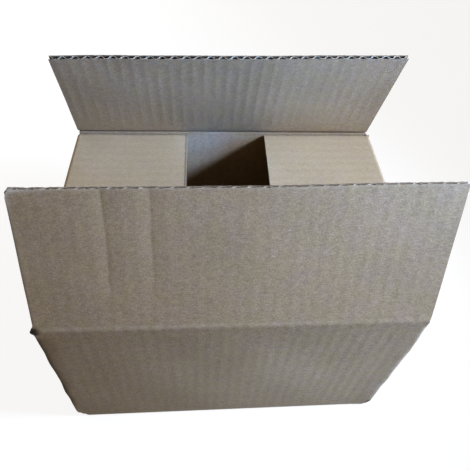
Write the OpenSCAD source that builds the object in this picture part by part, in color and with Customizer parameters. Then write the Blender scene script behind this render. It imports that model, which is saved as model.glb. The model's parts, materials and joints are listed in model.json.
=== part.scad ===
// Slotted corrugated carton standing with its outer top flaps half open, in millimetres.
// X runs along the length, Y along the width with the front at -Y, Z up from the floor.

/* [Carton] */
// Outside length
box_length = 200; // [150:1:280]
// Outside width
box_width = 150; // [110:1:200]
// Height from the floor to the outer face of a closed outer top flap
box_height = 122; // [80:1:160]
// Width of the slot cut between neighbouring flaps
slot_width = 6; // [4:0.5:9]
// Gap left where two outer flaps meet
seam_gap = 1; // [0.5:0.1:3]
// Width of the glued joint tab inside the back left corner
tab_width = 32; // [20:1:45]
// Height lost at each end of the joint tab towards its free edge
tab_taper = 6; // [3:0.5:12]
// Gap between the cut edge of the left wall and the fold it is glued behind
joint_gap = 0.5; // [0.3:0.1:1.5]

/* [Board] */
// Thickness of the corrugated board
board = 2.6; // [2.2:0.1:3.2]
// Thickness of each facing paper
liner = 0.3; // [0.2:0.02:0.4]
// Thickness of the fluted paper between the facings
medium = 0.3; // [0.2:0.02:0.4]
// Distance from one flute crest to the next
flute_pitch = 6.45; // [5.5:0.05:7.5]
// Part of the pitch over which a flute lies flat on its facing
crest_share = 0.2; // [0.1:0.01:0.3]
// Width of the crushed band on each side of a crease
score_band = 4; // [3.4:0.2:6]

/* [Outer top flaps] */
// Angle of the front flap up from closed
front_angle = 67; // [0:1:180]
// Angle of the back flap up from closed
back_angle = 69; // [0:1:180]
// Angle from closed at which an outer flap hangs fully open
open_angle = 240; // [190:1:245]

/* [Wear on the front flap] */
// Place of the first crushed flute along the flap
first_crease_share = 0.195; // [0.1:0.005:0.9]
// Place of the second crushed flute along the flap
second_crease_share = 0.296; // [0.1:0.005:0.9]
// Part of the flap's depth that a crushed flute runs down
crease_run_share = 0.78; // [0.3:0.01:0.9]
// Width of the dent over a crushed flute
crease_width = 2.6; // [1.5:0.1:4]
// Depth of the dent over a crushed flute
crease_depth = 0.2; // [0.1:0.02:0.24]
// Radius of the blunted free corner
corner_wear = 3.2; // [1:0.2:6]

/* [Bottom tape] */
// Width of the sealing tape
tape_width = 48; // [36:1:60]
// Thickness of the sealing tape
tape_thickness = 0.06; // [0.05:0.01:0.12]
// Height of the tape ends on the side walls
tape_tail = 45; // [25:1:70]

/* [Fits] */
// Clearance around the bead of a crease hinge
fold_clear = 0.15; // [0.1:0.01:0.25]
// Clearance between flaps that lie on each other
layer_clear = 0.3; // [0.15:0.05:0.6]
// Overrun of a cut past the face it opens
cut_over = 1; // [0.5:0.1:2]

/* [Hidden] */
$fn = 48;
quarter = 90;
half_turn = 180;
kraft = [0.66, 0.54, 0.40];
kraft_light = [0.74, 0.62, 0.47];
tape_tint = [0.86, 0.80, 0.66];

half_length = box_length / 2;
half_width = box_width / 2;
flap_length = half_width - seam_gap / 2;

// Crushed board at a crease: the three papers pressed together, next to the outer facing
score = 2 * liner + medium;
bead = score / 2;
inner_rise = board - bead;
mitre_gap = fold_clear * sqrt(2);

// Crease axes of the outer top flaps
axis_y = half_width - bead;
axis_z = box_height - bead;
flap_reach = flap_length - bead;

// Heights at which the side walls end and their folds begin
side_low = 2 * board + layer_clear;
side_high = box_height - 2 * board - layer_clear;
inner_flap_top = box_height - board - layer_clear;

// Heights between the ends of the slots, where the corners and the outer walls are whole
corner_low = board;
corner_high = inner_flap_top;

// Flaps stop short of the corner folds
outer_half = half_length - max(slot_width / 2, board);
inner_half = half_width - max(slot_width / 2, board + joint_gap);
back_left = half_length - 2 * board;

// Top edge of an outer wall: it clears a flap hanging at open_angle and a flap closed over it
open_drop = open_angle - half_turn;
swing = bead + fold_clear;
foot_run = (swing * sin(open_drop) + bead) / cos(open_drop);
ridge_run = (swing * (sin(open_drop) - cos(open_drop)) + mitre_gap) / (sin(open_drop) + cos(open_drop));
ridge_foot = [-bead, -swing * cos(open_drop) - foot_run * sin(open_drop)];
ridge_tip = [swing * sin(open_drop) - ridge_run * cos(open_drop),
             -swing * cos(open_drop) - ridge_run * sin(open_drop)];
ridge_heel = [inner_rise, -inner_rise - mitre_gap];

// Flute section: slanted fluted paper between flat crests
flute_run = flute_pitch / 2 - crest_share * flute_pitch;
flute_rise = board - 2 * liner - medium;
flank_shift = medium / 2 / sin(atan2(flute_rise, flute_run));
half_crest = crest_share * flute_pitch / 2;
lean = flute_run * medium / 2 / flute_rise;
void_top = half_crest + lean - flank_shift;
void_foot = half_crest + flute_run + lean - flank_shift;

// One hollow under a flute crest, foot on the facing at y = liner
module flute_void() {
    polygon([
        [-void_foot, liner],
        [void_foot, liner],
        [void_top, board - liner - medium],
        [-void_top, board - liner - medium]
    ]);
}

// Cut across corrugated board of the given width, outer facing at y = 0
module fluted_section(width) {
    count = floor((width - 2 * (void_foot + liner)) / flute_pitch) + 1;
    first = -(count - 1) / 2 * flute_pitch;
    difference() {
        translate([-width / 2, 0]) square([width, board]);
        for (i = [0 : count - 1]) {
            translate([first + i * flute_pitch, 0]) flute_void();
        }
        for (i = [0 : count - 2]) {
            translate([first + (i + 1 / 2) * flute_pitch, board]) mirror([0, 1]) flute_void();
        }
    }
}

// Flat corrugated panel: outer facing at z = 0, board below it, flutes along +Y from y = 0
module fluted_panel(width, length) {
    rotate([-quarter, 0, 0]) linear_extrude(height = length) fluted_section(width);
}

// Rounded fold of board thickness about its inner edge, upright, turned by the given angle
module fold(turn, length) {
    rotate([0, 0, turn]) rotate_extrude(angle = quarter) square([board, length]);
}

// The same fold lying along X
module fold_along_x(turn, length) {
    translate([-length / 2, 0, 0]) rotate([0, quarter, 0]) fold(turn, length);
}

// The same fold lying along Y
module fold_along_y(turn, length) {
    translate([0, -length / 2, 0]) rotate([-quarter, 0, 0]) fold(turn, length);
}

// Straight walls between the corner folds
module straight_walls() {
    outer_height = corner_high - corner_low;
    side_height = side_high - side_low;
    translate([-half_length + board, -half_width, corner_low])
        cube([2 * (half_length - board), board, outer_height]);
    translate([-back_left, half_width - board, corner_low])
        cube([back_left + half_length - board, board, outer_height]);
    translate([half_length - board, -half_width + board, side_low])
        cube([board, 2 * (half_width - board), side_height]);
    translate([-half_length, -half_width + board, side_low])
        cube([board, 2 * (half_width - board) - joint_gap, side_height]);
}

// Rounded upright corners; the back left one is the fold of the joint tab, one board further in
module corner_folds() {
    height = corner_high - corner_low;
    translate([-half_length + board, -half_width + board, corner_low]) fold(half_turn, height);
    translate([half_length - board, -half_width + board, corner_low]) fold(-quarter, height);
    translate([half_length - board, half_width - board, corner_low]) fold(0, height);
    translate([-back_left, half_width - board, corner_low]) fold(quarter, height);
}

// Tab glued to the inner face of the left wall
module joint_tab() {
    translate([-half_length + board, 0, 0]) rotate([quarter, 0, quarter]) linear_extrude(height = board)
        polygon([
            [half_width - board, side_low],
            [half_width - board, side_high],
            [half_width - board - tab_width, side_high - tab_taper],
            [half_width - board - tab_width, side_low + tab_taper]
        ]);
}

// Upper strip of an outer wall with the crushed ridge that carries the crease, seen with the front at -Y
module crease_strip(x_low, x_high) {
    translate([x_low, -axis_y, axis_z]) rotate([quarter, 0, quarter]) linear_extrude(height = x_high - x_low)
        polygon([
            [-bead, -score_band],
            [inner_rise, -score_band],
            ridge_heel,
            ridge_tip,
            ridge_foot
        ]);
}

// Creased top edges of the front and back walls
module crease_strips() {
    crease_strip(-outer_half, outer_half);
    mirror([0, 1, 0]) crease_strip(-back_left, outer_half);
}

// Shallow bed that the tape presses into the bottom flaps
module tape_bed() {
    translate([-half_length, -tape_width / 2, -cut_over])
        cube([box_length, tape_width, cut_over + tape_thickness]);
}

// Outer bottom flaps, folded in from the front and back walls to meet over the seam
module outer_bottom_flaps() {
    back_span = back_left + outer_half;
    back_mid = (outer_half - back_left) / 2;
    translate([0, -half_width + board, board]) fold_along_x(-quarter, 2 * outer_half);
    translate([back_mid, half_width - board, board]) fold_along_x(0, back_span);
    difference() {
        union() {
            translate([0, -half_width + board, 0]) rotate([0, half_turn, 0])
                fluted_panel(2 * outer_half, flap_length - board);
            translate([back_mid, half_width - board, 0]) rotate([0, half_turn, half_turn])
                fluted_panel(back_span, flap_length - board);
        }
        tape_bed();
    }
}

// Inner bottom flaps, folded in first from the side walls
module inner_bottom_flaps() {
    for (side = [0, 1]) mirror([side, 0, 0]) {
        translate([-half_length + board, 0, side_low]) fold_along_y(quarter, 2 * inner_half);
        translate([-half_length + board, 0, board + layer_clear]) rotate([0, half_turn, -quarter])
            fluted_panel(2 * inner_half, flap_length - board);
    }
}

// Inner top flaps, folded in flat from the side walls
module inner_top_flaps() {
    for (side = [0, 1]) mirror([side, 0, 0]) {
        translate([-half_length + board, 0, side_high]) fold_along_y(half_turn, 2 * inner_half);
        translate([-half_length + board, 0, inner_flap_top]) rotate([0, 0, -quarter])
            fluted_panel(2 * inner_half, flap_length - board);
    }
}

// Sheet folded into the box, without the two outer top flaps
module carton() {
    color(kraft) union() {
        straight_walls();
        corner_folds();
        joint_tab();
        crease_strips();
        outer_bottom_flaps();
        inner_bottom_flaps();
        inner_top_flaps();
    }
}

// Outer top flap closed: crease axis on X, flap along +Y, outer facing up
module outer_flap(width) {
    panel_length = flap_reach - score_band;
    rotate([0, quarter, 0]) translate([0, 0, -width / 2]) cylinder(r = bead, h = width);
    translate([-width / 2, 0, 0]) rotate([quarter, 0, quarter]) linear_extrude(height = width)
        polygon([
            [0, 0],
            [mitre_gap, 0],
            [inner_rise + mitre_gap, -inner_rise],
            [score_band, -inner_rise],
            [score_band, bead],
            [0, bead]
        ]);
    translate([0, score_band, bead]) fluted_panel(width, panel_length);
}

// Dent over a crushed flute, in the outer facing
module crease_cut(width, share) {
    run = crease_run_share * flap_reach;
    mouth = crease_width / 2 * (crease_depth + cut_over) / crease_depth;
    translate([(share - 1 / 2) * width, flap_reach + cut_over, bead]) rotate([quarter, 0, 0])
        linear_extrude(height = run + cut_over)
            polygon([[0, -crease_depth], [mouth, cut_over], [-mouth, cut_over]]);
}

// Blunting cut at the free left corner
module corner_cut(width) {
    translate([-width / 2, flap_reach, 0]) difference() {
        translate([-cut_over, -corner_wear, -board])
            cube([corner_wear + cut_over, corner_wear + cut_over, 2 * board]);
        translate([corner_wear, -corner_wear, -board - cut_over])
            cylinder(r = corner_wear, h = 2 * (board + cut_over));
    }
}

// Outer top flap at the front
module front_flap() {
    color(kraft_light) translate([0, -axis_y, axis_z]) rotate([front_angle, 0, 0]) difference() {
        union() outer_flap(2 * outer_half);
        crease_cut(2 * outer_half, first_crease_share);
        crease_cut(2 * outer_half, second_crease_share);
        corner_cut(2 * outer_half);
    }
}

// Outer top flap at the back
module back_flap() {
    color(kraft_light) translate([(outer_half - back_left) / 2, axis_y, axis_z])
        rotate([back_angle, 0, half_turn]) outer_flap(back_left + outer_half);
}

// Bend and upright end of the tape on the left
module tape_end() {
    bend = slot_width / 2;
    translate([-half_length + bend, tape_width / 2, bend + tape_thickness]) rotate([quarter, 0, 0])
        rotate([0, 0, half_turn]) rotate_extrude(angle = quarter) translate([bend, 0])
            square([tape_thickness, tape_width]);
    translate([-half_length - tape_thickness, -tape_width / 2, bend + tape_thickness])
        cube([tape_thickness, tape_width, tape_tail - bend - tape_thickness]);
}

// Sealing tape under the bottom seam, its ends turned up on the side walls
module bottom_tape() {
    bend = slot_width / 2;
    color(tape_tint) union() {
        translate([-half_length + bend, -tape_width / 2, 0])
            cube([box_length - 2 * bend, tape_width, tape_thickness]);
        tape_end();
        mirror([1, 0, 0]) tape_end();
    }
}

carton();
front_flap();
back_flap();
bottom_tape();
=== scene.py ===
"""Looks of a slotted corrugated carton: papers, flutes, creases, wear, tape, light and camera, in metres."""

import json
import math

import bpy
import numpy as np
from mathutils import Matrix, Vector


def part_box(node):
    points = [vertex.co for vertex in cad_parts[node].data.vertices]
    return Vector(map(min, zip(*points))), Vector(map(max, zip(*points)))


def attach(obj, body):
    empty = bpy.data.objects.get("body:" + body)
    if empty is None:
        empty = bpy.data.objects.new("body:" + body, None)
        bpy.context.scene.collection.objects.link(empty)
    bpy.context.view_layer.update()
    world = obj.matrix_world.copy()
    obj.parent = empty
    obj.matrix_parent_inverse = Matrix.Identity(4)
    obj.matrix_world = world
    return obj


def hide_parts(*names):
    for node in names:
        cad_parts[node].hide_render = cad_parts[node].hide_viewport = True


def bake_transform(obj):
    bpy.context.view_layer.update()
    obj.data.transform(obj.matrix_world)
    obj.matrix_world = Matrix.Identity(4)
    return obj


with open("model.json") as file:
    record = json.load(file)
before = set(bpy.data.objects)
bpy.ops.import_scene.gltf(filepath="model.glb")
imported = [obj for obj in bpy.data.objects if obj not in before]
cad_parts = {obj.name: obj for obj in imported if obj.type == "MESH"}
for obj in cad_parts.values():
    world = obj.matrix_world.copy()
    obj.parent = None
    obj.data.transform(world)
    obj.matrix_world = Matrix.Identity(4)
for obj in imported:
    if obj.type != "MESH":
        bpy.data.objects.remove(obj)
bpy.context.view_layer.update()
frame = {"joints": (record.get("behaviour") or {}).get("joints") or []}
MM = 0.001

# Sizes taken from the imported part
HALF_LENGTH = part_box("carton")[1].x
HALF_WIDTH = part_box("carton")[1].y
JOINTS = {joint["name"]: joint for joint in frame["joints"]}
FRONT_AXIS = np.array(JOINTS["front_crease"]["pos_m"])
BACK_AXIS = np.array(JOINTS["back_crease"]["pos_m"])
FRONT_ANGLE = -math.radians(JOINTS["front_crease"]["range_deg"][0])
BACK_ANGLE = -math.radians(JOINTS["back_crease"]["range_deg"][0])
BEAD = HALF_WIDTH - BACK_AXIS[1]
BOX_HEIGHT = FRONT_AXIS[2] + BEAD

# Board and layout, as in the part's source
BOARD = 2.6 * MM
LINER = 0.3 * MM
MEDIUM = 0.3 * MM
PITCH = 6.45 * MM
LAYER_CLEAR = 0.3 * MM
JOINT_GAP = 0.5 * MM
SEAM_GAP = 1.0 * MM
TAB_WIDTH = 32 * MM
TAB_TAPER = 6 * MM
TAPE_HALF = 24 * MM
TAPE_TAIL = 45 * MM
TAPE_FILM = 0.05 * MM
TAPE_BEND = 3 * MM
UNDERSIDE = 1.6 * TAPE_FILM
SIDE_LOW = 2 * BOARD + LAYER_CLEAR
SIDE_HIGH = BOX_HEIGHT - 2 * BOARD - LAYER_CLEAR
INNER_FLAP_TOP = BOX_HEIGHT - BOARD - LAYER_CLEAR
OUTER_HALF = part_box("front_flap")[1].x
BACK_LEFT = HALF_LENGTH - 2 * BOARD
INNER_HALF = HALF_WIDTH - BOARD - JOINT_GAP
FLAP_RUN = HALF_WIDTH - SEAM_GAP / 2 - BOARD

# Paper between the glue lines and around the creases
SAG_DEPTH = 0.07 * MM
SAG_POWER = 1.25
SAG_PATCH = 38 * MM
CREASE_SPAN = 4.5 * MM
CREASE_ROUND = 1.5 * MM
CREASE_VALLEY = 1.5 * MM
FINE_STEP = 0.65 * MM
STEP = 0.8 * MM
COARSE_STEP = 1.1 * MM
NOISE_WAVES = 9
CREST_FLATNESS = 1.7
WALL_ROWS = 46
SHARP_ANGLE = math.radians(42)

# Wear of the box as a whole: plan out of square, sides bowed, upper corners pinched below the creases, lower
# corners pushed in. A lower corner has a side (-1 left), a depth (-1 front) and the length of its dent.
PLAN_SKEW = 1.2 * MM
SIDE_BOW = 1.5 * MM
UNDER_CREASE = 112 * MM
BLUNT_ROUND = 1 * MM
BLUNT_CORNERS = ((-1, -1, 10 * MM), (1, -1, 8 * MM), (-1, 1, 6 * MM), (1, 1, 6 * MM))


def smoothstep(value, low, high):
    """Smooth ramp from 0 at low to 1 at high."""
    t = np.clip((value - low) / (high - low), 0, 1)
    return t * t * (3 - 2 * t)


def band(value, low, full, fade, gone):
    """1 from full to fade, falling smoothly to 0 at low and at gone."""
    return smoothstep(value, low, full) * (1 - smoothstep(value, fade, gone))


def bump(value, centre, width):
    """Bell of height 1 and the given width about a centre."""
    return np.exp(-((value - centre) / width) ** 2)


def soft_noise(a, b, wavelength, seed):
    """Smooth noise over two coordinates, mostly within -1 to 1."""
    rng = np.random.default_rng(seed)
    total = 0
    for _ in range(NOISE_WAVES):
        turn, phase = rng.uniform(0, 2 * math.pi, 2)
        rate = 2 * math.pi / (wavelength * rng.uniform(0.6, 1.8))
        total = total + np.sin(rate * (a * math.cos(turn) + b * math.sin(turn)) + phase)
    return total / math.sqrt(NOISE_WAVES)


def rough_line(s, step, seed):
    """Jagged noise along a line, from -1 to 1."""
    rng = np.random.default_rng(seed)
    knots = np.arange(s.min() - step, s.max() + 2 * step, step)
    return np.interp(s, knots, rng.uniform(-1, 1, len(knots)))


def spaced(low, high, step):
    """Even samples from low to high, at most a step apart."""
    return np.linspace(low, high, math.ceil((high - low) / step) + 1)


def nothing(s, u):
    """Zero all over a panel."""
    return 0 * (s + u)


class Panel:
    """Flat board in its own axes: s across the flutes, u away from the crease, n out of the outer face."""

    def __init__(self, origin, along, outward, low, high, reach, seed):
        self.origin = np.array(origin)
        self.along = np.array(along)
        self.outward = np.array(outward)
        self.across = np.cross(self.along, self.outward)
        self.low = low
        self.high = high
        self.reach = reach
        self.seed = seed
        self.middle = (low + high) / 2
        self.start = 0.4 * MM
        self.fold_start = -math.pi / 2 * BOARD
        self.warp = self.dent = self.split = self.grime = self.flare = nothing
        self.edge = lambda s: reach + 0 * s
        self.end = lambda s, side: reach + 0.1 * MM * rough_line(s, 1.3 * MM, seed + len(side))
        self.scuff = lambda s, u: 0.5 * bump(u, reach, 0.7 * MM)
        self.outer_sag = lambda s: 0.25
        self.inner_sag = lambda s: 0.6

    def place(self, s, u, n):
        """Points in the part's frame; a negative u runs round the fold behind the panel."""
        turn = np.maximum(-u, 0) / BOARD
        flat_u = np.maximum(u, 0) - (BOARD + n) * np.sin(turn)
        flat_n = (BOARD + n) * np.cos(turn) - BOARD
        parts = zip((s + self.flare(s, u), flat_u, flat_n), (self.across, self.along, self.outward))
        return self.origin + sum(value[..., None] * axis for value, axis in parts)

    def sag(self, s, u, phase):
        """Depth to which a facing sinks between its glue lines."""
        wave = np.abs(np.sin(math.pi * ((s - self.middle) / PITCH + phase))) ** SAG_POWER
        patch = np.clip(1 + 0.45 * soft_noise(s, u, SAG_PATCH, self.seed + 7), 0.25, 2)
        return SAG_DEPTH * wave * patch * smoothstep(u, CREASE_SPAN, 2.6 * CREASE_SPAN)

    def outer(self, s, u):
        """Height of the outer face."""
        return self.warp(s, u) - self.outer_sag(s) * self.sag(s, u, 0) - self.dent(s, u) + self.split(s, u)

    def inner(self, s, u):
        """Height of the inner face."""
        return self.warp(s, u) - BOARD + self.inner_sag(s) * self.sag(s, u, 0.5) - self.split(s, u)


def grid_quads(index):
    """Quads of a grid of vertex numbers."""
    corners = (index[:-1, :-1], index[:-1, 1:], index[1:, 1:], index[1:, :-1])
    return np.stack([c.ravel() for c in corners], axis=1)


def border(index):
    """Vertex numbers once round the edge of a grid."""
    return np.concatenate([index[0, :-1], index[:-1, -1], index[-1, :0:-1], index[:0:-1, 0]])


def blunt_lower_corners(points):
    """Push in the four lower corners of the carton, as use leaves them."""
    for side, front, run in BLUNT_CORNERS:
        inward = np.array((-side, -front, 1))
        past = np.clip(-points @ inward - (HALF_LENGTH + HALF_WIDTH - run), 0, None)
        points = points + (past ** 2 / (past + BLUNT_ROUND) / (inward @ inward))[:, None] * inward
    return points


class Builder:
    """Collects closed sheets of paper into one mesh object."""

    def __init__(self):
        self.points, self.quads, self.slots = [], [], []
        self.marks = {"flute": [], "scuff": [], "grime": []}
        self.count = 0

    def add(self, face, back, slot=0, back_slot=None, **marks):
        """Closed sheet between two grids of points, face on the side that the grid winds about."""
        rows, cols = face.shape[:2]
        top = self.count + np.arange(rows * cols).reshape(rows, cols)
        under = top + rows * cols
        edge_top, edge_under = border(top), border(under)
        rim = np.stack([edge_top, edge_under, np.roll(edge_under, -1), np.roll(edge_top, -1)], axis=1)
        quads = np.concatenate([grid_quads(top), grid_quads(under)[:, ::-1], rim])
        self.points += [face.reshape(-1, 3), back.reshape(-1, 3)]
        self.quads.append(quads)
        sides = (slot, slot if back_slot is None else back_slot, slot)
        self.slots.append(np.repeat(sides, (len(grid_quads(top)), len(grid_quads(top)), len(rim))))
        for name, values in self.marks.items():
            given = marks.get(name, 0.0)
            for side in (given, marks.get("back_" + name, given)):
                values.append(np.broadcast_to(side, (rows, cols)).ravel())
        self.count += 2 * rows * cols

    def build(self, name, *materials):
        """Mesh object with smooth papers and crisp cut edges."""
        mesh = bpy.data.meshes.new(name)
        points = blunt_lower_corners(np.concatenate(self.points))
        points[:, 0] += PLAN_SKEW * points[:, 1] / HALF_WIDTH
        mesh.from_pydata(points.tolist(), [], np.concatenate(self.quads).tolist())
        for material in materials:
            mesh.materials.append(material)
        mesh.polygons.foreach_set("material_index", np.concatenate(self.slots).astype(np.int32))
        mesh.polygons.foreach_set("use_smooth", np.ones(len(mesh.polygons), bool))
        for mark, values in self.marks.items():
            layer = mesh.attributes.new(mark, "FLOAT", "POINT")
            layer.data.foreach_set("value", np.concatenate(values).astype(np.float32))
        mesh.update()
        mesh.set_sharp_from_angle(angle=SHARP_ANGLE)
        made = bpy.data.objects.new(name, mesh)
        bpy.context.scene.collection.objects.link(made)
        return made


# Materials: colours of bare fibre and of dirt and painted shade, sizes of clouds and grain, fibres per metre
# along and across

PALE_FIBRE = (0.74, 0.68, 0.57, 1)
SOIL_AND_SHADE = (0.05, 0.036, 0.022, 1)
CLOUD_SIZE = 3 * MM
GRAIN_SIZE = 0.8 * MM
SPECKLE_SIZE = 0.4 * MM
FIBRE_ALONG = 400
FIBRE_ACROSS = 1900
WASHBOARD_SHADE_TONE = 0.025


class Shader:
    """Short way to wire nodes: each call adds one node and returns it."""

    def __init__(self, name):
        self.material = bpy.data.materials.new(name)
        self.material.use_nodes = True
        self.tree = self.material.node_tree
        self.principled = self.tree.nodes["Principled BSDF"]

    def add(self, kind, inputs=None, **settings):
        made = self.tree.nodes.new(kind)
        for key, value in settings.items():
            setattr(made, key, value)
        for key, value in (inputs or {}).items():
            self.put(made.inputs[key], value)
        return made

    def put(self, socket, value):
        if isinstance(value, bpy.types.NodeSocket):
            self.tree.links.new(value, socket)
        else:
            socket.default_value = value

    def math(self, operation, a, b=0.0, clamp=False):
        return self.add("ShaderNodeMath", {0: a, 1: b}, operation=operation, use_clamp=clamp).outputs[0]

    def noise(self, coords, scale, detail, roughness=0.55):
        inputs = {"Vector": coords, "Scale": scale, "Detail": detail, "Roughness": roughness}
        return self.add("ShaderNodeTexNoise", inputs).outputs["Fac"]

    def stretched(self, coords, scale):
        return self.add("ShaderNodeMapping", {"Vector": coords, "Scale": scale}).outputs["Vector"]

    def ramp(self, value, low, high):
        inputs = {"Value": value, "From Min": low, "From Max": high}
        return self.add("ShaderNodeMapRange", inputs, interpolation_type="SMOOTHSTEP").outputs[0]

    def mix(self, factor, a, b):
        made = self.add("ShaderNodeMix", data_type="RGBA")
        self.put(made.inputs["Factor"], factor)
        self.put(made.inputs[6], a)
        self.put(made.inputs[7], b)
        return made.outputs[2]

    def mark(self, name):
        return self.add("ShaderNodeAttribute", attribute_name=name).outputs["Fac"]


def paper_material(name, dark, light, blotch_size, contrast=1.0):
    """Unbleached paper: clouded pulp, grain, long fibres, flecks, painted washboard shade in stripes along
    the flutes, scuffs, and dirt that also carries painted shade.
    """
    m = Shader(name)
    coords = m.add("ShaderNodeTexCoord").outputs["Object"]
    blotch = m.noise(coords, 1 / blotch_size, 3)
    cloud = m.noise(coords, 1 / CLOUD_SIZE, 3)
    grain = m.noise(coords, 1 / GRAIN_SIZE, 2, 0.7)
    speckle = m.noise(coords, 1 / SPECKLE_SIZE, 1)
    fibre_x = m.noise(m.stretched(coords, (FIBRE_ALONG, FIBRE_ACROSS, FIBRE_ACROSS)), 1, 1)
    fibre_z = m.noise(m.stretched(coords, (FIBRE_ACROSS, FIBRE_ACROSS, FIBRE_ALONG)), 1, 1)
    weights = ((blotch, 0.2), (cloud, 0.28), (grain, 0.76), (speckle, 0.6), (fibre_x, 0.5), (fibre_z, 0.4))
    tone = 0.5
    for value, weight in weights:
        tone = m.math("ADD", tone, m.math("MULTIPLY", m.math("SUBTRACT", value, 0.5), contrast * weight))
    # Painted washboard shade: a stripe tone at the flute pitch, darker on one side of each bond line and
    # lighter on the other, set to fall in step with the shading of the sagging facings
    washboard_shade = m.math("SINE", m.math("MULTIPLY", m.mark("flute"), 2 * math.pi))
    tone = m.math("ADD", tone, m.math("MULTIPLY", washboard_shade, WASHBOARD_SHADE_TONE), clamp=True)
    colour = m.mix(tone, (*dark, 1), (*light, 1))
    hue = m.ramp(m.noise(coords, 1 / (0.4 * blotch_size), 2), 0.35, 0.7)
    rosy = m.add("ShaderNodeHueSaturation", {"Hue": 0.488, "Saturation": 0.92, "Color": colour}).outputs[0]
    colour = m.mix(m.math("MULTIPLY", hue, contrast), colour, rosy)
    fleck = m.ramp(m.noise(m.stretched(coords, (700, 1500, 1500)), 1, 1), 0.7, 0.78)
    colour = m.mix(m.math("MULTIPLY", fleck, 0.35), colour, SOIL_AND_SHADE)
    shive = m.ramp(m.noise(m.stretched(coords, (420, 2300, 1700)), 1, 1), 0.66, 0.75)
    colour = m.mix(m.math("MULTIPLY", shive, 0.35 * contrast), colour, PALE_FIBRE)
    ragged = m.math("ADD", 0.55, m.math("MULTIPLY", cloud, 0.9))
    colour = m.mix(m.math("MULTIPLY", m.mark("scuff"), ragged, clamp=True), colour, PALE_FIBRE)
    # Dirt, and painted shade in folds, creases and gaps, darken the paper towards the dark soil colour
    colour = m.mix(m.math("MULTIPLY", m.mark("grime"), ragged, clamp=True), colour, SOIL_AND_SHADE)
    height = m.math("ADD", m.math("MULTIPLY", grain, 0.6), m.math("MULTIPLY", fibre_x, 0.5))
    relief = m.add("ShaderNodeBump", {"Strength": 0.35, "Distance": 0.06 * MM, "Height": height})
    m.put(m.principled.inputs["Base Color"], colour)
    m.put(m.principled.inputs["Roughness"], m.math("ADD", 0.78, m.math("MULTIPLY", cloud, 0.2)))
    m.put(m.principled.inputs["Normal"], relief.outputs[0])
    m.principled.inputs["Specular IOR Level"].default_value = 0.22
    return m.material


def tape_material():
    """Tan parcel tape: thin gloss film with faint wrinkles and trapped air."""
    m = Shader("tape_film")
    coords = m.add("ShaderNodeTexCoord").outputs["Object"]
    streak = m.noise(m.stretched(coords, (25, 420, 420)), 1, 3)
    air = m.ramp(m.noise(coords, 260, 2), 0.58, 0.7)
    colour = m.mix(streak, (0.50, 0.36, 0.19, 1), (0.62, 0.48, 0.29, 1))
    colour = m.mix(m.math("MULTIPLY", air, 0.35), colour, (0.72, 0.62, 0.46, 1))
    relief = m.add("ShaderNodeBump", {"Strength": 0.25, "Distance": 0.1 * MM, "Height": streak})
    m.put(m.principled.inputs["Base Color"], colour)
    m.put(m.principled.inputs["Roughness"], m.math("ADD", 0.12, m.math("MULTIPLY", air, 0.18)))
    m.put(m.principled.inputs["Normal"], relief.outputs[0])
    m.principled.inputs["Coat Weight"].default_value = 0.4
    return m.material


FACING = paper_material("kraft_facing", (0.275, 0.206, 0.125), (0.64, 0.503, 0.312), 24 * MM)
# A lighter copy of the facing for the upper inner flaps is painted light standing in for light from above;
# its mottling is also milder
SMOOTH_LIT_FACING = paper_material("smooth_lit_facing", (0.315, 0.242, 0.150), (0.725, 0.58, 0.37), 24 * MM, 0.6)
FLUTING = paper_material("fluted_paper", (0.17, 0.125, 0.075), (0.38, 0.295, 0.185), 15 * MM)
TAPE = tape_material()


# Pieces


def add_fluted_board(builder, panel, step, row_count):
    """Two facings and the fluted paper between them, as three closed sheets."""
    columns = spaced(panel.low, panel.high, step)
    edge_strip = 7 * MM
    edge_rows = np.linspace(1 - edge_strip / panel.reach, 1, 9)
    share = np.concatenate([np.linspace(0, edge_rows[0], row_count)[:-1], edge_rows])[:, None]
    for side, first in (("outer", panel.fold_start), ("inner", panel.start)):
        outer = side == "outer"
        lead = np.linspace(first, panel.start, 10)[:-1, None] if first < panel.start else np.zeros((0, 1))
        u = panel.start + share * (panel.end(columns, side) - panel.start)
        u = np.concatenate([np.broadcast_to(lead, (len(lead), len(columns))), u])
        s = np.broadcast_to(columns, u.shape)
        top = panel.outer(s, u) if outer else panel.inner(s, u) + LINER
        phase = (s - panel.middle) / PITCH + (0 if outer else 0.5)
        slots = (0, 1) if outer else (1, 0)
        builder.add(panel.place(s, u, top), panel.place(s, u, top - LINER), *slots,
                    flute=phase, scuff=panel.scuff(s, u), grime=panel.grime(s, u))
    add_fluting(builder, panel, step)


def add_fluting(builder, panel, step):
    """Fluted paper: rounded flat crests joined by slanted flanks."""
    columns = spaced(panel.low + 0.1 * MM, panel.high - 0.1 * MM, min(step, 0.6 * MM))
    share = np.array([0, 0.3, 0.6, 0.8, 0.9, 0.94, 0.97, 0.985, 1])[:, None]
    start = max(panel.start, 2.5 * MM)
    end = panel.end(columns, "fluting") - 0.15 * MM
    u = start + share * (end - start)
    s = np.broadcast_to(columns, u.shape)
    travel = (BOARD - 2 * LINER - MEDIUM) / 2 - SAG_DEPTH / 2
    turn = 2 * math.pi * (s - panel.middle) / PITCH
    wave = np.tanh(CREST_FLATNESS * np.cos(turn)) / math.tanh(CREST_FLATNESS)
    by_edge = smoothstep(u, panel.reach / 2, panel.reach)
    wobble = 1 - 0.1 * np.abs(soft_noise(s, u, 9 * MM, panel.seed + 5)) * by_edge
    middle = -BOARD / 2 + travel * wave * wobble
    middle = middle + panel.warp(s, u) - panel.dent(s, u) * (middle + BOARD) / BOARD
    slope = np.gradient(middle, columns, axis=1)
    tilt = np.sqrt(1 + slope ** 2)
    over, rise = slope / tilt * MEDIUM / 2, MEDIUM / 2 / tilt
    builder.add(panel.place(s - over, u, middle + rise), panel.place(s + over, u, middle - rise), 1,
                scuff=0.6 * bump(u, panel.edge(s), 0.5 * MM))


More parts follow.
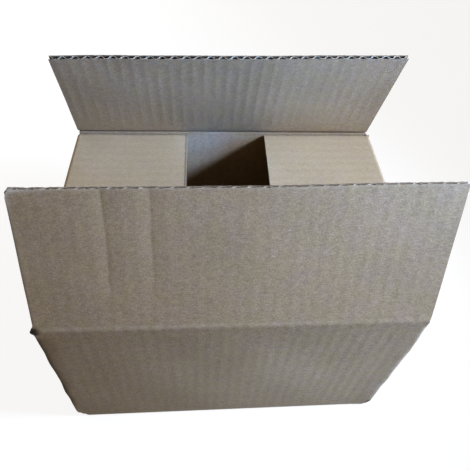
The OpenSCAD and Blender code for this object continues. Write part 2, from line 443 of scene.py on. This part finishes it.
def outer_flap(axis, angle, facing_sign, node, seed):
    """Hinged outer top flap as a panel; facing_sign is -1 at the front and 1 at the back."""
    along = (0, -facing_sign * math.cos(angle), math.sin(angle))
    outward = np.array((0, facing_sign * math.sin(angle), math.cos(angle)))
    reach = (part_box(node)[1].z - axis[2] - BEAD * math.cos(angle)) / math.sin(angle)
    panel = Panel(axis + BEAD * outward, along, outward, -OUTER_HALF, OUTER_HALF, reach, seed)
    panel.start = CREASE_SPAN
    panel.fold_start = CREASE_SPAN
    return panel


def front_flap_panel():
    """Front flap with two crushed flutes, a worn free corner and a longer, dirtier right end."""
    panel = outer_flap(FRONT_AXIS, FRONT_ANGLE, -1, "front_flap", 11)
    low, high, reach = panel.low, panel.high, panel.reach
    width = high - low
    creases = [low + share * width for share in (0.195, 0.296)]
    crease_end = 0.22 * reach
    crease_depth = 0.33 * MM
    corner = 3.4 * MM
    twist_rise = 0.4 * MM
    extra_length = 1.6 * MM
    extra_width = 1.2 * MM

    def warp(s, u):
        twist = twist_rise * (high - s) / width * u / reach
        return twist + 0.16 * MM * (1 + soft_noise(s, u, 55 * MM, 21)) * smoothstep(u, 0, 0.4 * reach)

    def dent(s, u):
        total = nothing(s, u)
        for number, place in enumerate(creases):
            path = place + 0.25 * MM * soft_noise(u, 0 * u, 24 * MM, 31 + number)
            fade = smoothstep(u, crease_end - 6 * MM, crease_end + 14 * MM)
            groove = np.exp(-np.abs(s - path) / (3 * MM))
            total = total + crease_depth * groove * fade * (0.85 + 0.3 * (u / reach) ** 4)
        return total

    def edge(s):
        return reach + extra_length * smoothstep(s, -0.3 * high, high)

    def end(s, side):
        round_off = corner if side == "outer" else 0.4 * corner
        inset = np.clip(s - low, 0, round_off)
        blunt = round_off - np.sqrt(round_off ** 2 - (round_off - inset) ** 2)
        tears = 0.35 * MM * np.clip(rough_line(s, 4.1 * MM, 77 + len(side)), 0, 1) ** 3
        return edge(s) - blunt + 0.12 * MM * rough_line(s, 0.9 * MM, 79 + len(side)) - tears

    def split(s, u):
        return 0.45 * MM * np.exp(-np.hypot(s - low, u - reach) / (4 * MM))

    def scuff(s, u):
        along_top = bump(u, reach, 1.2 * MM) * np.exp(-(s - low) / (10 * MM))
        along_side = bump(s, low, 1.1 * MM) * np.exp(-(reach - u) / (9 * MM))
        return np.clip(0.2 * bump(u, edge(s), 0.6 * MM) + along_top + 0.8 * along_side, 0, 1)

    # Darker along the left cut edge, except near the top corner, and a little darker towards the right end
    def grime(s, u):
        along_side = bump(s, low, 0.6 * MM) * smoothstep(reach - u, 4 * MM, 12 * MM)
        return 0.6 * along_side + 0.07 * smoothstep(s, 0.6 * high, 0.95 * high)

    panel.warp, panel.dent, panel.edge, panel.end = warp, dent, edge, end
    panel.split, panel.scuff, panel.grime = split, scuff, grime
    panel.flare = lambda s, u: extra_width * smoothstep(s, 0.6 * high, high) + 0 * u
    panel.outer_sag = lambda s: 0.15 + 0.35 * smoothstep(s, 0, 0.8 * high)
    return panel


def back_flap_panel():
    """Back flap, its right end a little more upright and its left end cut on a slant."""
    panel = outer_flap(BACK_AXIS, BACK_ANGLE, 1, "back_flap", 12)
    low, high, reach = panel.low, panel.high, panel.reach
    twist_rise = 4.4 * MM
    extra_width = 2 * MM

    def warp(s, u):
        twist = twist_rise * (high - s) / (high - low) * u / reach
        return twist + 0.16 * MM * (1 + soft_noise(s, u, 60 * MM, 22)) * smoothstep(u, 0, 0.4 * reach)

    panel.warp = warp
    panel.flare = lambda s, u: extra_width * smoothstep(s, 0.5 * high, high) * (1 - u / reach)
    panel.inner_sag = lambda s: 0.95 + 0.35 * bump(s, -12 * MM, 38 * MM)
    panel.scuff = lambda s, u: 0.2 * bump(u, reach, 0.7 * MM)
    panel.grime = lambda s, u: 0.25 * bump(u, reach, 0.5 * MM)
    return panel


def crease_rows(panel, axis, wall_out, depth, half_run, control):
    """Section through a crease: wall face, bend and flap face, as points in the plane across it."""
    rows = np.linspace(-CREASE_SPAN, CREASE_SPAN, 29)
    wall_up = np.array((0, 0, 1))

    def on_wall(q):
        return axis + (BEAD - depth) * wall_out + q * wall_up

    def on_flap(q):
        return axis + (BEAD - depth) * panel.outward + q * panel.along

    points = []
    for q in rows:
        if q <= -half_run:
            points.append(on_wall(q))
        elif q >= half_run:
            points.append(on_flap(q))
        else:
            t = (q + half_run) / (2 * half_run)
            ends = (1 - t) ** 2 * on_wall(-half_run) + t ** 2 * on_flap(half_run)
            points.append(ends + 2 * t * (1 - t) * control)
    return rows, np.array(points)


def make_crease(name, panel, axis, wall_sign, curl):
    """Crushed board of a crease between its wall and its flap; curl is how far its low end is bent out."""
    wall_out = np.array((0, wall_sign, 0))
    corner = axis + BEAD * (wall_out + panel.outward) / (1 + wall_out @ panel.outward)
    valley = axis - 0.1 * MM * (wall_out + panel.outward)
    rows, outer = crease_rows(panel, axis, wall_out, 0, CREASE_ROUND, corner)
    inner = crease_rows(panel, axis, wall_out, BOARD, CREASE_VALLEY, valley)[1]
    s = spaced(panel.low, panel.high, STEP)[None, :]
    q = rows[:, None]
    along_flap = smoothstep(q, -2 * MM, 2 * MM)[..., None]
    normal = (1 - along_flap) * wall_out + along_flap * panel.outward
    fade = 1 - smoothstep(np.abs(q), 0.75 * CREASE_SPAN, CREASE_SPAN)
    grooves = bump(q, 3 * MM, 1 * MM) + bump(q, -2.4 * MM, 1 * MM)
    ridge = (0.04 * bump(q, 0.4 * MM, 1.3 * MM) - 0.05 * grooves) * MM * fade
    crush = 0.03 * MM * soft_noise(s, q, 6 * MM, panel.seed + 40) * fade
    torn_end = bump(s, panel.low, 2 * MM) * bump(q, 0.3 * MM, 2.2 * MM)
    tucked_end = bump(s, panel.high, 4 * MM) * bump(q, -1 * MM, 2.6 * MM)
    with_flap = panel.warp(s, np.maximum(q, 0)) * (q > 0)
    across = (s + panel.flare(s, 0 * q) - curl * torn_end - 0.6 * MM * tucked_end)[..., None] * panel.across
    face = outer[:, None, :] + across + (ridge + crush + with_flap)[..., None] * normal
    back = inner[:, None, :] + across + with_flap[..., None] * normal
    worn = 0.1 * bump(q, 1.6 * MM, 1.6 * MM) * (1 + 0.6 * soft_noise(s, q, 4 * MM, panel.seed + 41))
    worn = worn * (1 - smoothstep(s, 0, panel.high))
    soiled = np.clip(2.5 * torn_end, 0, 1) * (curl > 0)
    builder = Builder()
    # The back of the crease board is darkened along its inner valley: painted shade
    builder.add(face, back, 0, flute=s / PITCH + 0 * q, scuff=np.clip(worn - soiled, 0, 1), back_scuff=0.0,
                grime=soiled, back_grime=0.45 * bump(q, 0, 2 * MM) + 0 * s)
    made = builder.build(name, FACING)
    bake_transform(made)


class Ring:
    """Outer line of the walls in plan, from the joint tab round to the raw edge of the left wall.

    Each point has its outward normal, its wall, its place along the wall from the middle, half that wall's
    run, and an arc of 1 where it lies on a corner fold.
    """

    TAB, BACK, RIGHT, FRONT, LEFT = range(5)
    FIELDS = ("x", "y", "nx", "ny", "wall", "place", "half", "arc")

    def __init__(self):
        self.stretches = []
        fold_x, fold_y = HALF_LENGTH - BOARD, HALF_WIDTH - BOARD
        self.line((-fold_x, fold_y - TAB_WIDTH), (-fold_x, fold_y), self.TAB)
        self.bend(-BACK_LEFT, fold_y, 180, self.BACK)
        self.line((-BACK_LEFT, HALF_WIDTH), (fold_x, HALF_WIDTH), self.BACK)
        self.bend(fold_x, fold_y, 90, self.RIGHT)
        self.line((HALF_LENGTH, fold_y), (HALF_LENGTH, -fold_y), self.RIGHT)
        self.bend(fold_x, -fold_y, 0, self.FRONT)
        self.line((fold_x, -HALF_WIDTH), (-fold_x, -HALF_WIDTH), self.FRONT)
        self.bend(-fold_x, -fold_y, -90, self.LEFT)
        self.line((-HALF_LENGTH, -fold_y), (-HALF_LENGTH, fold_y - JOINT_GAP), self.LEFT)
        for name, values in zip(self.FIELDS, zip(*self.stretches)):
            setattr(self, name, np.concatenate(values))

    def keep(self, *values):
        """Add a stretch, given in the order of the fields; single numbers hold all along it."""
        ones = np.ones(len(values[0]))
        self.stretches.append([value * ones for value in values])

    def line(self, start, end, wall):
        start, end = np.array(start), np.array(end)
        length = np.hypot(*(end - start))
        way = (end - start) / length
        d = spaced(0, length, STEP)
        x, y = start[0] + d * way[0], start[1] + d * way[1]
        self.keep(x, y, -way[1], way[0], wall, d - length / 2, length / 2, 0)

    def bend(self, x, y, first, wall):
        turn = np.radians(first - np.linspace(0, 90, 9)[1:-1])
        nx, ny = np.cos(turn), np.sin(turn)
        half = HALF_LENGTH if wall in (self.BACK, self.FRONT) else HALF_WIDTH
        self.keep(x + BOARD * nx, y + BOARD * ny, nx, ny, wall, -half, half, 1)


def side_bow(y, z):
    """How far the side walls stand out of true towards the top."""
    across = np.cos(math.pi / 2 * np.clip(y / HALF_WIDTH, -1, 1))
    return SIDE_BOW * across * np.clip(z / SIDE_HIGH, 0, 1) ** 2


def wall_offset(ring, z):
    """Bow, dents and blunted corners of the walls, outwards."""
    x, y = ring.x[None, :], ring.y[None, :]
    side = (ring.wall == Ring.RIGHT) | (ring.wall == Ring.LEFT)
    broad = ((ring.wall == Ring.FRONT) | (ring.wall == Ring.BACK)) & (ring.arc == 0)
    rise = np.clip(z / BOX_HEIGHT, 0, 1)
    offset = side * side_bow(y, z) * (ring.arc == 0)
    middle = np.cos(math.pi / 2 * np.clip(ring.place / ring.half, -1, 1))
    offset = offset + broad * middle * np.sin(math.pi * rise) * 0.5 * MM * soft_noise(x, z, 90 * MM, 51)
    corner = np.hypot(np.abs(x) - HALF_LENGTH, np.abs(y) - HALF_WIDTH)
    below_crease = np.where(ring.arc > 0, 1, 1 - smoothstep(z, UNDER_CREASE, 117 * MM))
    pinch_depth = np.where(y > 0, 1.6, np.where(x < 0, 1.0, 0.3)) * MM
    pinch = pinch_depth * bump(corner, 0, 7 * MM) * smoothstep(z, 60 * MM, UNDER_CREASE)
    knocks = 0.25 * MM * soft_noise(x, z, 22 * MM, 53) * bump(corner, 0, 6 * MM)
    knocks = knocks * smoothstep(z, 8 * MM, 20 * MM)
    crushed = 0.5 * MM * np.clip(1 - corner / (9 * MM), 0, 1) ** 2 * ((x < 0) & (y < 0))
    crushed = crushed * band(z, 10 * MM, 45 * MM, 85 * MM, 114 * MM)
    swollen = 0.8 * MM * bump(corner, 0, 9 * MM) * ((x > 0) & (y < 0))
    swollen = swollen * (1 - smoothstep(z, 98 * MM, UNDER_CREASE))
    return offset + swollen - crushed - (pinch + knocks) * below_crease


def wall_ends(ring):
    """Heights of the walls' upper and lower edges, all the way round."""
    broad = (ring.wall == Ring.FRONT) | (ring.wall == Ring.BACK)
    straight = ring.arc == 0
    left_end = np.where(ring.wall == Ring.BACK, BACK_LEFT, OUTER_HALF)
    under_flap = broad & straight & (ring.x <= OUTER_HALF) & (ring.x >= -left_end)
    under_side = ~broad & straight & (np.abs(ring.y) <= INNER_HALF)
    tab = ring.wall == Ring.TAB
    taper = TAB_TAPER * np.clip((HALF_WIDTH - BOARD - ring.y) / TAB_WIDTH, 0, 1)
    top = np.where(under_side, SIDE_HIGH, INNER_FLAP_TOP)
    top = np.where(under_flap, FRONT_AXIS[2] - CREASE_SPAN, top)
    top = np.where(tab, SIDE_HIGH - taper, top)
    low = np.where(under_side, SIDE_LOW, BOARD)
    low = np.where(tab, SIDE_LOW + taper, low)
    return top, low


def wall_wear(ring, run, z, edge):
    """Scuffs and dirt of the walls, and painted shade down the front-left corner fold; edge is the distance
    from a wall's own fold.
    """
    front = ring.wall == Ring.FRONT
    corner = np.exp(-edge / (1.6 * MM)) * (0.6 + 0.6 * soft_noise(run, z, 14 * MM, 62))
    foot = bump(z, BOARD, 2.2 * MM)
    slot_end = bump(z, INNER_FLAP_TOP, 2.5 * MM) * (ring.arc > 0)
    # Painted shade: a dark strip down the front-left corner fold, which turns away from the light from the
    # right; it also clears the scuff there
    past_fold = np.where(front, ring.x + HALF_LENGTH - BOARD, 0)
    by_front_left = ((ring.wall == Ring.LEFT) & (ring.arc > 0)) | (front & (ring.arc == 0))
    painted_fold_shade = by_front_left * np.exp(-np.maximum(past_fold, 0) / (1.5 * MM))
    painted_fold_shade = painted_fold_shade * smoothstep(z, 12 * MM, 35 * MM)
    by_front_right = front & (ring.x > HALF_LENGTH - 3.5 * MM)
    slot_foot = bump(z, BOARD + 6 * MM, 2.5 * MM) * by_front_right
    scuff = 0.25 * corner + 0.2 * foot - painted_fold_shade
    grime = 0.7 * slot_end + 0.15 * foot + 0.65 * painted_fold_shade + 0.9 * slot_foot
    return np.clip(scuff, 0, 1), np.clip(grime, 0, 1)


def make_walls():
    """Four walls and the joint tab, one folded board."""
    ring = Ring()
    top, low = wall_ends(ring)
    z = top + np.linspace(0, 1, WALL_ROWS)[:, None] * (low - top)
    run = np.broadcast_to(ring.place, z.shape)
    edge = ring.half - np.abs(ring.place)
    calm = smoothstep(edge, 2 * MM, 8 * MM) * (ring.arc == 0)
    calm = calm * band(z, SIDE_LOW, 12 * MM, 108 * MM, 115 * MM)
    patch = np.clip(1 + 0.45 * soft_noise(run, z, SAG_PATCH, 61), 0.25, 2)
    patch = patch * (0.45 + 0.4 * smoothstep(ring.x, 0, 70 * MM))

    def sag(phase):
        wave = np.abs(np.sin(math.pi * (run / PITCH + phase))) ** SAG_POWER
        return SAG_DEPTH * wave * patch * calm

    def points(d):
        return np.stack([ring.x + ring.nx * d, ring.y + ring.ny * d, z], axis=-1)

    offset = np.where(ring.wall == Ring.TAB, 0, wall_offset(ring, z))
    thickness = np.where(ring.arc > 0, BOARD - 0.25 * MM, BOARD)
    scuff, grime = wall_wear(ring, run, z, edge)
    builder = Builder()
    # The flute mark runs against the ring so that the painted washboard shade falls in step with the shading
    # of the sag
    builder.add(points(offset - sag(0)), points(offset - thickness + sag(0.5)), 0,
                flute=-run / PITCH, scuff=scuff, grime=grime)
    made = builder.build("carton_walls", FACING)
    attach(made, "carton")
    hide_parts("carton")


def side_flap(sign, up, seed, short=0.0):
    """Inner flap folded in from a side wall; sign is -1 on the left, up is 1 at the top."""
    plane = INNER_FLAP_TOP if up > 0 else BOARD + LAYER_CLEAR
    panel = Panel((sign * (HALF_LENGTH - BOARD), 0, plane), (-sign, 0, 0), (0, 0, up),
                  -INNER_HALF, INNER_HALF, FLAP_RUN - short, seed)
    # A dark line just inside the free edge of the upper left flap is painted shade of the gap there; the
    # flaps are also darker along their ends by the front and back walls
    painted_gap_shade = 0.7 if sign < 0 and up > 0 else 0
    panel.grime = lambda s, u: (0.3 * bump(np.abs(s), INNER_HALF, 1 * MM)
                                + painted_gap_shade * bump(u, panel.reach - 0.9 * MM, 0.4 * MM))
    panel.scuff = lambda s, u: 0.15 * bump(u, panel.reach, 0.7 * MM)
    flat_place = panel.place

    def place(s, u, n):
        points = flat_place(s, u, n)
        shift = side_bow(points[..., 1], points[..., 2]) * (1 - smoothstep(u, 0, 30 * MM))
        points[..., 0] += sign * shift * (up > 0)
        return points

    def warp(s, u):
        return -0.22 * MM * (1 + soft_noise(s, u, 60 * MM, seed + 9)) * smoothstep(u, 2 * MM, 25 * MM)

    panel.place, panel.warp = place, warp
    return panel


def bottom_flap(sign, low, high, seed):
    """Outer bottom flap folded in from the front (-1) or back (1) wall."""
    origin = (0, sign * (HALF_WIDTH - BOARD), UNDERSIDE)
    return Panel(origin, (0, -sign, 0), (0, 0, -1), low, high, FLAP_RUN, seed)


def make_board(name, panel, body, step, row_count, node=None, facing=FACING):
    """Fluted board as one piece on a body."""
    builder = Builder()
    add_fluted_board(builder, panel, step, row_count)
    made = builder.build(name, facing, FLUTING)
    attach(made, body)
    if node:
        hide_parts(node)


def make_tape():
    """Film over the bottom seam, pressed round the lower edges and up the side walls."""
    bend_end = HALF_LENGTH - TAPE_BEND
    turn = np.linspace(0, math.pi / 2, 9)[1:]
    rise = spaced(TAPE_BEND, TAPE_TAIL, 2 * MM)[1:]
    right_x = np.concatenate([bend_end + TAPE_BEND * np.sin(turn), np.full(len(rise), HALF_LENGTH)])
    right_z = np.concatenate([TAPE_BEND * (1 - np.cos(turn)), rise])
    flat = spaced(-bend_end, bend_end, 2 * MM)
    x = np.concatenate([-right_x[::-1], flat, right_x])[None, :]
    z = np.concatenate([right_z[::-1], 0 * flat, right_z])[None, :]
    tail = np.ones(len(rise))
    nx = np.concatenate([-tail, -np.sin(turn[::-1]), 0 * flat, np.sin(turn), tail])[None, :]
    nz = -np.sqrt(np.clip(1 - nx ** 2, 0, 1))
    y = np.concatenate([np.linspace(-TAPE_HALF, -2 * SEAM_GAP, 16), spaced(-SEAM_GAP, SEAM_GAP, 0.2 * MM),
                        np.linspace(2 * SEAM_GAP, TAPE_HALF, 16)])[:, None]
    upright = np.abs(nx) > 0.99
    proud = np.where(upright, side_bow(y, z) + 0.03 * MM, 0)
    lift = proud + 0.02 * MM * (1 + soft_noise(x + 0 * y, y + z, 9 * MM, 71)) * upright
    lift = lift - 0.2 * MM * bump(y, 0, 0.45 * SEAM_GAP) * (nz < -0.99)

    def grid(d):
        return np.stack([x + nx * d, y + 0 * x, z + nz * d + TAPE_FILM * (nz < -0.5)], axis=-1)

    builder = Builder()
    builder.add(grid(lift + TAPE_FILM)[::-1], grid(lift)[::-1])
    made = builder.build("tape_film", TAPE)
    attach(made, "carton")
    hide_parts("bottom_tape")


# Stage

SENSOR_WIDTH = 36
CAMERA_FOCUS_PX = 481.3
IMAGE_PX = 470
CAMERA_PLACE = (-0.0218, -0.1846, 0.3348)
CAMERA_PITCH = math.radians(51.6)
CAMERA_YAW = math.radians(7.76)
CAMERA_ROLL = math.radians(-5.42)
FLOOR_DROP = 0.1 * MM


def add_camera():
    """Camera at the photograph's viewing angle."""
    data = bpy.data.cameras.new("camera")
    data.sensor_width = SENSOR_WIDTH
    data.lens = SENSOR_WIDTH * CAMERA_FOCUS_PX / IMAGE_PX
    data.clip_start = 0.01
    forward = Vector((math.sin(CAMERA_YAW) * math.cos(CAMERA_PITCH),
                      math.cos(CAMERA_YAW) * math.cos(CAMERA_PITCH), -math.sin(CAMERA_PITCH)))
    level = Vector((math.cos(CAMERA_YAW), -math.sin(CAMERA_YAW), 0))
    drop = forward.cross(level)
    right = level * math.cos(CAMERA_ROLL) + drop * math.sin(CAMERA_ROLL)
    up = level * math.sin(CAMERA_ROLL) - drop * math.cos(CAMERA_ROLL)
    camera = bpy.data.objects.new("camera", data)
    facing = Matrix((right, up, -forward)).transposed().to_4x4()
    camera.matrix_world = Matrix.Translation(CAMERA_PLACE) @ facing
    bpy.context.scene.collection.objects.link(camera)
    bpy.context.scene.camera = camera


def add_area_light(name, place, target, size, power, colour, spread=180):
    """Square soft light aimed at a point; a spread in degrees below 180 narrows its beam."""
    data = bpy.data.lights.new(name, "AREA")
    data.size = size
    data.spread = math.radians(spread)
    data.energy = power
    data.color = colour
    light = bpy.data.objects.new(name, data)
    light.location = place
    light.rotation_euler = (Vector(target) - Vector(place)).to_track_quat("-Z", "Y").to_euler()
    light.visible_camera = False
    bpy.context.scene.collection.objects.link(light)


def add_surround():
    """Soft even light from all round; the camera sees it as a pale backdrop."""
    world = bpy.data.worlds.new("surround")
    world.use_nodes = True
    tree = world.node_tree
    ambient = tree.nodes["Background"]
    ambient.inputs["Color"].default_value = (1.0, 0.74, 0.40, 1)
    ambient.inputs["Strength"].default_value = 0.145
    backdrop = tree.nodes.new("ShaderNodeBackground")
    backdrop.inputs["Color"].default_value = (0.9, 0.9, 0.9, 1)
    choose = tree.nodes.new("ShaderNodeMixShader")
    seen = tree.nodes.new("ShaderNodeLightPath").outputs["Is Camera Ray"]
    tree.links.new(seen, choose.inputs[0])
    tree.links.new(ambient.outputs[0], choose.inputs[1])
    tree.links.new(backdrop.outputs[0], choose.inputs[2])
    tree.links.new(choose.outputs[0], tree.nodes["World Output"].inputs[0])
    bpy.context.scene.world = world


def add_floor():
    """Pale floor that throws no light of its own back on the box."""
    mesh = bpy.data.meshes.new("floor")
    reach, level = 3.0, -FLOOR_DROP
    corners = [(-reach, -reach, level), (reach, -reach, level), (reach, reach, level), (-reach, reach, level)]
    mesh.from_pydata(corners, [], [(0, 1, 2, 3)])
    floor = bpy.data.objects.new("floor", mesh)
    bpy.context.scene.collection.objects.link(floor)
    surface = Shader("floor_paper")
    surface.principled.inputs["Base Color"].default_value = (0.25, 0.25, 0.25, 1)
    surface.principled.inputs["Roughness"].default_value = 0.9
    surface.principled.inputs["Emission Color"].default_value = (1, 1, 1, 1)
    surface.principled.inputs["Emission Strength"].default_value = 0.72
    mesh.materials.append(surface.material)
    floor.visible_diffuse = False


def add_lights():
    """Window light from the right in three beams, bounce from the table in front, soft fill from behind."""
    add_area_light("window", (0.42, -0.10, 0.40), (-0.10, 0.045, 0.145),
                   size=0.1, power=0.88, colour=(0.61, 0.735, 1.0), spread=80)
    add_area_light("window_back_flap", (0.44, -0.18, 0.265), (-0.03, 0.06, 0.195),
                   size=0.1, power=0.09, colour=(0.15, 0.42, 1.0), spread=30)
    add_area_light("window_inside", (0.36, -0.25, 0.395), (-0.022, 0.072, 0.104),
                   size=0.02, power=0.0025, colour=(0.18, 0.41, 1.0), spread=5)
    add_area_light("table_bounce", (0.26, -0.36, 0.05), (0.05, -0.08, 0.06),
                   size=0.1, power=0.063, colour=(0.43, 0.63, 1.0), spread=50)
    add_area_light("table_bounce_side", (0.40, -0.26, 0.05), (0.06, -0.08, 0.06),
                   size=0.1, power=0.046, colour=(0.44, 0.63, 1.0), spread=50)
    add_area_light("fill", (-0.5, 0.62, 0.14), (0, 0, 0.08),
                   size=0.5, power=3.0, colour=(0.85, 0.92, 1.0))


def add_stage():
    """Floor, surround, lights and the camera's response."""
    add_floor()
    add_surround()
    add_lights()
    bpy.context.scene.view_settings.view_transform = "Standard"
    bpy.context.scene.view_settings.look = "Medium High Contrast"


def main():
    """Build every piece, then the stage and the camera."""
    front = front_flap_panel()
    back = back_flap_panel()
    make_walls()
    make_board("front_flap_board", front, "front_flap", FINE_STEP, row_count=26, node="front_flap")
    make_board("back_flap_board", back, "back_flap", FINE_STEP, row_count=26, node="back_flap")
    make_crease("front_crease_board", front, FRONT_AXIS, -1, curl=1.9 * MM)
    make_crease("back_crease_board", back, BACK_AXIS, 1, curl=0)
    inner_left = side_flap(-1, 1, 13, short=1.4 * MM)
    inner_right = side_flap(1, 1, 14)
    make_board("inner_flap_left", inner_left, "carton", STEP, row_count=24, facing=SMOOTH_LIT_FACING)
    make_board("inner_flap_right", inner_right, "carton", STEP, row_count=24, facing=SMOOTH_LIT_FACING)
    make_board("bottom_inner_left", side_flap(-1, -1, 15), "carton", COARSE_STEP, row_count=14)
    make_board("bottom_inner_right", side_flap(1, -1, 16), "carton", COARSE_STEP, row_count=14)
    bottom_front = bottom_flap(-1, -OUTER_HALF, OUTER_HALF, 17)
    bottom_back = bottom_flap(1, -BACK_LEFT, OUTER_HALF, 18)
    make_board("bottom_flap_front", bottom_front, "carton", COARSE_STEP, row_count=16)
    make_board("bottom_flap_back", bottom_back, "carton", COARSE_STEP, row_count=16)
    make_tape()
    add_stage()
    add_camera()


main()
